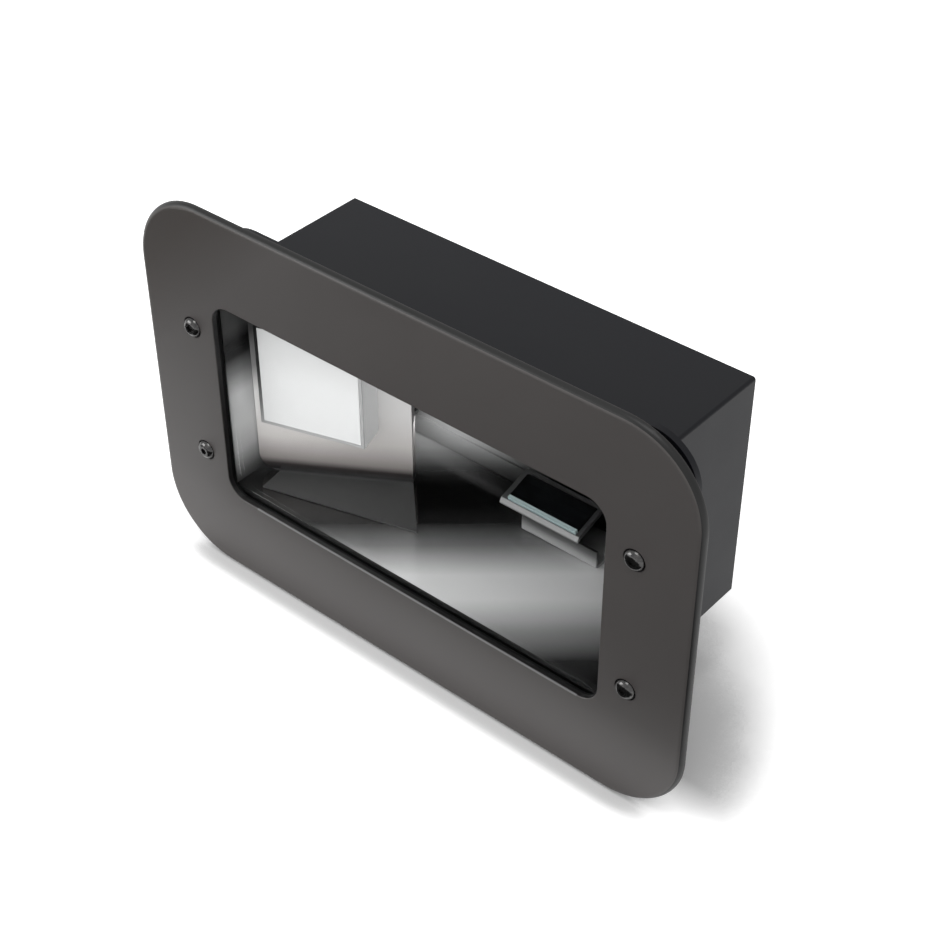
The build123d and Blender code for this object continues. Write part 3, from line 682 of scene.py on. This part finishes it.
def white_ray_mask(tree):
    """1 for rays from the camera, from gloss and through glass, and 0 for all others."""
    rays = tree.nodes.new("ShaderNodeLightPath").outputs
    total = rays["Is Camera Ray"]
    for ray_name in ("Is Glossy Ray", "Is Transmission Ray"):
        total = reckon(tree, "MAXIMUM", total, rays[ray_name])
    return total


def make_world():
    """White to the camera, in gloss and through glass, and a dimmer fill light."""
    world = bpy.data.worlds.new("studio")
    bpy.context.scene.world = world
    world.use_nodes = True
    tree = world.node_tree
    tree.nodes.clear()
    output = tree.nodes.new("ShaderNodeOutputWorld")
    background = tree.nodes.new("ShaderNodeBackground")
    background.inputs["Color"].default_value = WHITE
    strength = stretch(tree, white_ray_mask(tree), 0.0, 1.0, WORLD_FILL, 1.0)
    tree.links.new(strength, background.inputs["Strength"])
    tree.links.new(background.outputs["Background"], output.inputs["Surface"])


def open_sky(tree, reach, darkest, clear):
    """1 where nothing stands within reach, down to 0 where the sky is most covered."""
    node = tree.nodes.new("ShaderNodeAmbientOcclusion")
    node.inputs["Distance"].default_value = reach
    return stretch(tree, node.outputs["AO"], darkest, clear)


def floor_finish():
    """Pale to the lamps, and white to the camera but for the two shadows."""
    material, tree, shader = plain_shader(
        "studio_floor",
        Base_Color=FLOOR_TONE,
        Roughness=FLOOR_ROUGH,
        Specular_IOR_Level=0.0,
        Emission_Color=WHITE,
    )
    contact = open_sky(tree, *CONTACT_SHADOW)
    rear = open_sky(tree, *REAR_SHADOW)
    stops = [(REAR_SHADOW_START, grey(255)), (REAR_SHADOW_FULL, grey(0))]
    rear = reckon(tree, "MAXIMUM", rear, tone_along(tree, stops, ALONG_DEPTH))
    glow = white_ray_mask(tree)
    for share in (contact, rear, FLOOR_GLOW):
        glow = reckon(tree, "MULTIPLY", glow, share)
    tree.links.new(glow, shader.inputs["Emission Strength"])
    return material


def studio_object(name, form, material):
    """An object made of a bmesh, which is freed."""
    mesh = bpy.data.meshes.new(name)
    form.to_mesh(mesh)
    form.free()
    mesh.materials.append(material)
    made = bpy.data.objects.new(name, mesh)
    bpy.context.scene.collection.objects.link(made)
    return made


def make_floor():
    """A wide floor under the bezel's lower edge."""
    form = bmesh.new()
    bmesh.ops.create_grid(form, x_segments=1, y_segments=1, size=FLOOR_SIZE / 2)
    bmesh.ops.translate(form, verts=form.verts, vec=(0.0, 0.0, cad_box[0][2]))
    floor = studio_object("studio_floor", form, floor_finish())


def make_flag():
    """A black card on the floor before the window, seen only in gloss and through glass."""
    form = bmesh.new()
    level = cad_box[0][2] + FLAG_LIFT
    form.faces.new([form.verts.new((x * MM, y * MM, level)) for x, y in FLAG_OUTLINE])
    bmesh.ops.triangulate(form, faces=form.faces)
    material, _, _ = plain_shader("black_flag", Base_Color=grey(4), Specular_IOR_Level=0.0)
    flag = studio_object("black_flag", form, material)
    flag.visible_camera = False
    flag.visible_diffuse = False
    flag.visible_shadow = False


def area_light(name, place, target, size, power):
    """A rectangular lamp turned towards its target."""
    light = bpy.data.lights.new(name, "AREA")
    light.shape = "RECTANGLE"
    light.size, light.size_y = size
    light.energy = power
    holder = bpy.data.objects.new(name, light)
    bpy.context.scene.collection.objects.link(holder)
    place = Vector(place)
    aim = (Vector(target) - place).to_track_quat("-Z", "Y")
    holder.matrix_world = Matrix.Translation(place) @ aim.to_matrix().to_4x4()
    return holder


def make_lights():
    """One lamp to the left, one overhead, and two inside that can't be seen themselves."""
    area_light("key_light", *KEY_LIGHT)
    area_light("top_light", *TOP_LIGHT)
    window = area_light("window_light", *WINDOW_LIGHT)
    rear = area_light("rear_light", *REAR_LIGHT)
    for light in (window, rear):
        light.visible_camera = False
        light.visible_glossy = False
        light.visible_transmission = False


def make_camera():
    """The camera that stands as the photograph's did."""
    camera = bpy.data.cameras.new("camera")
    camera.lens = LENS_MM
    camera.sensor_width = FILM_MM
    camera.sensor_fit = "HORIZONTAL"
    camera.clip_start = CAMERA_NEAR
    holder = bpy.data.objects.new("camera", camera)
    bpy.context.scene.collection.objects.link(holder)
    aim = (CAMERA_TARGET - CAMERA_PLACE).to_track_quat("-Z", "Y").to_matrix().to_4x4()
    roll = Matrix.Rotation(CAMERA_ROLL, 4, "Z")
    holder.matrix_world = Matrix.Translation(CAMERA_PLACE) @ aim @ roll
    bpy.context.scene.camera = holder


make_world()
make_floor()
make_flag()
make_lights()
make_camera()
bpy.context.scene.view_settings.view_transform = "Standard"
